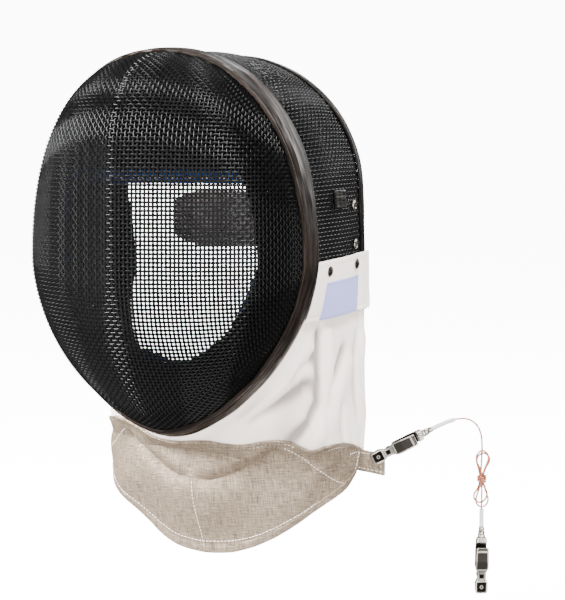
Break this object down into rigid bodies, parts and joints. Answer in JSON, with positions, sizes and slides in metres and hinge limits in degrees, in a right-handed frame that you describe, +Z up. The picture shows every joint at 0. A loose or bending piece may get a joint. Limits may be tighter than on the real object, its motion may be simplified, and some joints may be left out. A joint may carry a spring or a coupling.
{
  "type": "fencing mask",
  "caption": "Foil fencing mask: domed wire face, mesh crown, leather trim, padding, white bib with conductive lower half, and a clip-ended mask cord.",
  "frame": {"origin": "under the middle of the crown's padding, where the mask sits on the top of the wearer's head", "axes": "+Z up, the mask faces -Y, the wearer's left is +X"},
  "size_m": [0.323, 0.2695, 0.4438],
  "materials": {
    "black_wire": "black enamelled steel wire",
    "trim_leather": "glossy black-brown leather-cloth band",
    "binding_black": "black woven binding",
    "white_cloth": "white protective cloth",
    "lame_cloth": "silver conductive cloth",
    "pad_navy": "navy padded lining",
    "strap_grey": "dark grey webbing over spring plastic",
    "label_lavender": "pale lavender woven label, bare",
    "nickel": "nickel-plated pressed steel",
    "clear_sleeve": "clear plastic sleeve",
    "copper_wire": "copper strands in clear insulation"
  },
  "bodies": {
    "mask": {"face_mesh": "black_wire", "crown_mesh": "black_wire", "front_trim": "trim_leather", "rear_trim": "binding_black", "forehead_pad": "pad_navy", "face_pad": "pad_navy", "crown_liner": "pad_navy", "bib_white": "white_cloth", "bib_lame": "lame_cloth", "side_tab_left": "white_cloth", "side_tab_right": "white_cloth", "label_patch": "label_lavender", "side_patch_left": "binding_black", "side_patch_right": "binding_black", "snap_front_left": "nickel", "snap_rear_left": "nickel", "rivet_upper_left": "nickel", "rivet_lower_left": "nickel", "snap_front_right": "nickel", "snap_rear_right": "nickel", "rivet_upper_right": "nickel", "rivet_lower_right": "nickel", "back_strap": "strap_grey", "contact_tab": "lame_cloth", "clip_a_body": "nickel", "clip_a_pin": "nickel", "clip_a_tail": "nickel", "sleeve_a": "clear_sleeve", "cord_lead": "copper_wire", "cord_hank": "copper_wire", "cord_tie": "copper_wire", "sleeve_b": "clear_sleeve", "clip_b_body": "nickel", "clip_b_pin": "nickel", "clip_b_tail": "nickel"},
    "lever_a": {"clip_a_lever": "nickel"},
    "lever_b": {"clip_b_lever": "nickel"}
  },
  "joints": [
    {"name": "clip_a_lever_hinge", "type": "hinge", "parent": "mask", "child": "lever_a", "pos_m": [0.12794, 0.07859, -0.30954], "axis": [-0.3989, -0.2167, 0.891], "range_deg": [0, 14], "stiffness_Nm_per_rad": 0.3, "springref_deg": -8.59},
    {"name": "clip_b_lever_hinge", "type": "hinge", "parent": "mask", "child": "lever_b", "pos_m": [0.19451, 0.11474, -0.41203], "axis": [-0.8788, -0.4773, 0], "range_deg": [0, 14], "stiffness_Nm_per_rad": 0.3, "springref_deg": -8.59}
  ]
}
